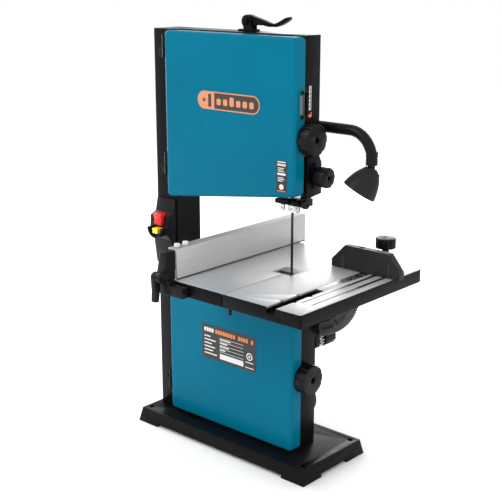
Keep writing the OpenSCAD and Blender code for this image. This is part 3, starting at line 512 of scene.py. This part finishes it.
# The badge on the upper door: an outline with blank marks in place of a name.
bx, bz, bw, bh = ux0 + 75, uz1 - 117, 129, 28
shapes("badge_plate", "peach", "upper_door", [rounded(bx, bx + bw, bz, bz + bh, 14, 10)], uy0 - 0.7, uy0 + 0.3)
shapes("badge_field", "brown", "upper_door",
       [rounded(bx + 60, bx + bw - 2, bz + 2, bz + bh - 2, 12, 10)[:22] +
        [(bx + 36, bz + bh - 2), (bx + 36, bz + 2)]],
       uy0 - 0.9, uy0)
shapes("badge_dot", "brown", "upper_door",
       [circle(bx + 14, bz + 14, 2.6, 20), rounded(bx + 23, bx + 29, bz + 4, bz + bh - 4, 1)], uy0 - 0.9, uy0)
shapes("badge_marks", "peach", "upper_door",
       [rounded(bx + 41 + 13.5 * i, bx + 50 + 13.5 * i, bz + 8, bz + 8 + h, 2.5) for i, h in
        enumerate((10, 10, 14, 10, 10, 10))], uy0 - 1.1, uy0)
# The small sticker beside it, with bars and blocks in place of its pictures.
sx, sz = ux1 - 34, uz1 - 228
shapes("sticker_back", "ink_and_shade", "upper_door", [rounded(sx, sx + 20, sz, sz + 48, 1.5)], uy0 - 0.35, uy0 + 0.3)
shapes("sticker_white", "paper", "upper_door",
       [rounded(sx + 2, sx + 18, sz + z, sz + z + h, 0.5) for z, h in ((45, 1.6), (40, 3), (26, 3))] +
       [rounded(sx + 3, sx + 3 + w, sz + z, sz + z + 1.1, 0.3) for z, w in
        ((36, 12), (33.5, 10), (31, 13), (21.5, 11), (19, 13), (16.5, 9))] +
       [circle(sx + 10, sz + 8, 4.2, 20)], uy0 - 0.5, uy0)
shapes("sticker_orange", "orange", "upper_door",
       [rounded(sx + 2, sx + 18, sz + 1.2, sz + 2.4, 0.4), rounded(sx + 4, sx + 16, sz + 41, sz + 42, 0.3)],
       uy0 - 0.6, uy0)
# The data plate on the lower door, with bars in place of its words.
px, pz, pw, ph = lx0 + 78, lz1 - 136, 119, 60
shapes("plate_back", "ink_and_shade", "lower_door", [rounded(px, px + pw, pz, pz + ph, 1.5)], ly0 - 0.35, ly0 + 0.3)
shapes("plate_white", "paper", "lower_door",
       [rounded(px + 5 + 5.5 * i, px + 9.5 + 5.5 * i, pz + 47, pz + 54, 0.8) for i in range(4)] +
       [rounded(px + 5, px + 5 + w, pz + z, pz + z + 2, 0.4) for z, w in
        ((38, 14), (32, 26), (26, 17), (20, 24), (14, 20), (8, 28))] +
       [rounded(px + 40, px + 92, pz + z - 1.8, pz + z - 1.2, 0.2) for z in (43, 37, 31, 25, 19)] +
       [rounded(px + 40, px + 40 + w, pz + z, pz + z + 2, 0.4) for z, w in
        ((38, 24), (32, 17), (26, 20), (20, 12))] +
       [rounded(px + 40, px + 92, pz + 5, pz + 14, 0.5), circle(px + 105, pz + 25, 6.5, 24)] +
       [rounded(px + 97, px + 113, pz + 14, pz + 15.6, 0.4), rounded(px + 96, px + 114, pz + 5, pz + 6.4, 0.4)],
       ly0 - 0.5, ly0)
shapes("plate_ring", "ink_and_shade", "lower_door", [circle(px + 105, pz + 25, 4.4, 24)], ly0 - 0.6, ly0)
shapes("plate_dot", "paper", "lower_door", [circle(px + 105, pz + 25, 2.2, 20)], ly0 - 0.7, ly0)
shapes("plate_orange", "orange", "lower_door",
       [rounded(px + 30 + 5.6 * i, px + 34.6 + 5.6 * i, pz + 47, pz + 54, 0.8)
        for i in range(15) if i not in (8, 13)],
       ly0 - 0.5, ly0)


def screws(name, mat, node, places, axis, r, h):
    """Round screw heads with a recess, standing out along the axis from each place."""

    def draw(bm):
        for at in places:
            head = [(0, 0), (r, 0), (r, h * 0.55), (r * 0.85, h), (r * 0.5, h), (r * 0.42, h * 0.45), (0, h * 0.45)]
            lathe(bm, head, at, axis, 24)

    piece(name, mat, node, draw)


# The tracking window's screws, its smoked strip, a black fill in its slot as painted shade, and the marks on the side
# of the housing.
(wx0, wy0, wz0), (wx1, wy1, wz1) = box_mm("tracking_window")
screws("window_screws", "plastic", "tracking_window",
       [(wx1, (wy0 + wy1) / 2, wz0 + 4.5), (wx1, (wy0 + wy1) / 2, wz1 - 4.5)], "x", 3.4, 2.2)
shapes("window_strip", "smoke", "tracking_window",
       [rounded(wy0 + 1.6, wy1 - 5.2, wz0 + 9, wz1 - 9, 1)], wx0 + 0.2, wx1 + 0.2, "x")
# A black fill through the window's slot: painted shade.
shapes("window_slot_shade", "ink_and_shade", "tracking_window",
       [rounded(wy1 - 4.6, wy1 - 0.4, wz0 + 3, wz1 - 3, 1)], wx0 + 0.2, wx1 + 0.3, "x")
shapes("side_mark_white", "paper", "upper_housing",
       [rounded(-5.5, -3, 566 + 6.2 * i, 571 + 6.2 * i, 0.4) for i in range(6)] +
       [rounded(-1.5, -0.6, 566, 602, 0.3)],
       hx1 - 0.1, hx1 + 0.25, "x")
shapes("side_mark_orange", "orange", "upper_housing",
       [circle(-4, 558, 2.6, 16), rounded(-1.5, 0.8, 556, 563, 0.4)], hx1 - 0.1, hx1 + 0.25, "x")
# The guide's setting screws.
(gx0, gy0, gz0), (gx1, gy1, gz1) = box_mm("guide_block")
screws("guide_screws", "ink_and_shade", "guide_block",
       [(gx0 + 3, gy0 + 0.2, gz0 + 5), (gx1 - 4, gy0 + 0.2, gz0 + 5)], "y", 2, -0.25)
screws("guide_side_screws", "ink_and_shade", "guide_block", [(gx1 - 0.2, gy0 + 7.5, gz0 + 5)], "x", 2, 0.25)

# Painted shade: black fills in the table's grooves, along the gap under the fence and in the mitre head's slots.
(tx0, ty0, tz0), (tx1, ty1, tz1) = box_mm("table_top")
(fx0, fy0, fz0), (fx1, fy1, fz1) = box_mm("fence_rail")
groove_shade_outlines = []
for gx in (211, 228.6):
    groove_shade_outlines.append([(gx - 1.65, -120.9), (gx + 1.65, -120.9), (gx + 1.65, -14), (gx + 3.1, -14), (gx + 3.1, 71.9),
                    (gx - 3.1, 71.9), (gx - 3.1, -13.9), (gx - 1.65, -13.9)])
shapes("table_groove_shade", "ink_and_shade", "table_top", groove_shade_outlines, tz0 + 0.4, tz1 - 0.12, "z")
# A black strip along the fence's bottom edge: painted shade in the gap between fence and table.
shade_low, shade_high = fz0 + 0.05, fz0 + 1.9
shapes("fence_gap_shade", "ink_and_shade", "fence_rail",
       [[(fy0, shade_low), (fy1, shade_low), (fy1, shade_high), (fy0, shade_high)]], fx1 - 0.4, fx1 + 0.2, "x")
(mx0, my0, mz0), (mx1, my1, mz1) = box_mm("mitre_head")
mc = (mx0 + mx1) / 2
# Black fills through the mitre head's two slots: painted shade.
shapes("head_slot_shade", "ink_and_shade", "mitre_head",
       [rounded(mc + e - 2.1, mc + e + 2.1, tz1 + 0.7, tz1 + 21.6, 2.05) for e in (-43, 43)], my0 + 0.5, my1 - 0.5)

# ---------------------------------------------------------------- camera, floor and light

cam = bpy.data.cameras.new("camera")
cam.lens = 75.05
cam.sensor_width = 36
cam.clip_start, cam.clip_end = 0.05, 200
eye = bpy.data.objects.new("camera", cam)
eye.location = Vector((1088.7, -1217.5, 779.1)) * MM
aim = Vector((-3.5, 12.75, 322.9)) * MM
eye.rotation_mode = "QUATERNION"
eye.rotation_quaternion = (aim - eye.location).to_track_quat("-Z", "Y")
bpy.context.scene.collection.objects.link(eye)
bpy.context.scene.camera = eye

floor_mat = Nodes("floor", (0.93, 0.93, 0.93), 0.6)
bm = bmesh.new()
bmesh.ops.create_grid(bm, x_segments=1, y_segments=1, size=60)
floor = finish_mesh("floor", bm, floor_mat.m, None)
floor.location.z = -0.0002


def area(name, where, target, w, h, power):
    """A soft w by h light, in metres, aimed at target, in watts."""
    d = bpy.data.lights.new(name, "AREA")
    d.shape = "RECTANGLE"
    d.size, d.size_y, d.energy = w, h, power
    o = bpy.data.objects.new(name, d)
    o.location = where
    o.rotation_mode = "QUATERNION"
    o.rotation_quaternion = (Vector(target) - Vector(where)).to_track_quat("-Z", "Y")
    bpy.context.scene.collection.objects.link(o)


area("key", (-0.9, -2.2, 2.4), (0, 0, 0.35), 1.6, 1.6, 34)
area("right", (2.2, -0.3, 1.3), (0.1, 0, 0.35), 0.9, 1.8, 6)
area("left", (-2.3, 0.25, 0.8), (-0.1, 0, 0.35), 0.6, 1.8, 45)
area("back", (-1.0, 2.5, 0.85), (0.12, 0, 0.33), 1.7, 0.8, 20)
world = bpy.data.worlds.new("world")
bpy.context.scene.world = world
world.use_nodes = True
world.node_tree.nodes["Background"].inputs["Color"].default_value = (1, 1, 1, 1)
world.node_tree.nodes["Background"].inputs["Strength"].default_value = 1.08
bpy.context.scene.view_settings.view_transform = "Standard"
